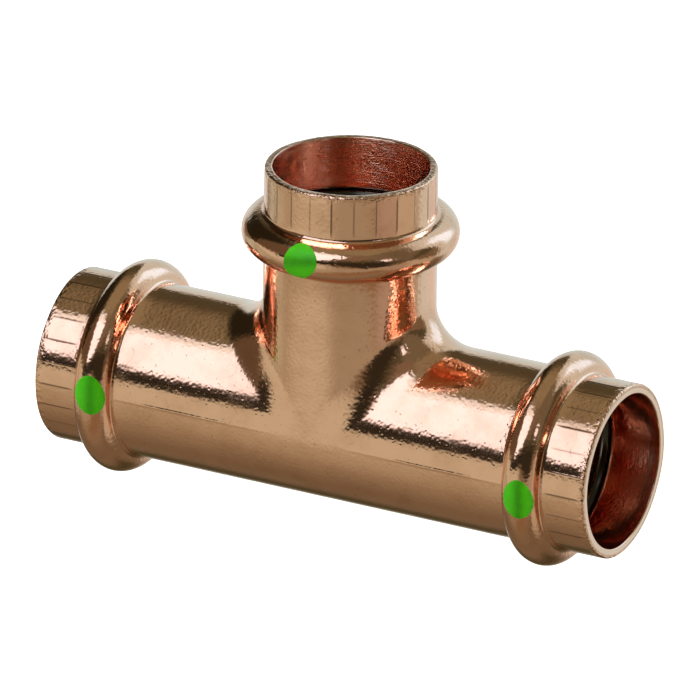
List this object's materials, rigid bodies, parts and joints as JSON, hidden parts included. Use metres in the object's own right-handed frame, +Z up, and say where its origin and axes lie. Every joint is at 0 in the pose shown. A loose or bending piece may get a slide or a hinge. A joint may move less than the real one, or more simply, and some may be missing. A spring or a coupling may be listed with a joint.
{
  "type": "press fit pipe tee",
  "caption": "Copper press fit tee: a run and a branch of one formed tube, each socket with a bead that holds a rubber seal ring, for joining three equal tubes.",
  "frame": {"origin": "middle of the footprint, on the surface that the three beads rest on", "axes": "+X along the run to the right socket, +Y along the branch out of its mouth, +Z up, towards the paint dots"},
  "size_m": [0.0878, 0.0528, 0.0309],
  "materials": {
    "copper": "bright drawn copper, lightly scuffed",
    "seal_rubber": "smooth black rubber, greased",
    "green_paint": "glossy green paint dot"
  },
  "bodies": {
    "root": {"tee_body": "copper", "left_seal": "seal_rubber", "right_seal": "seal_rubber", "branch_seal": "seal_rubber", "left_mark": "green_paint", "right_mark": "green_paint", "branch_mark": "green_paint"}
  },
  "joints": []
}
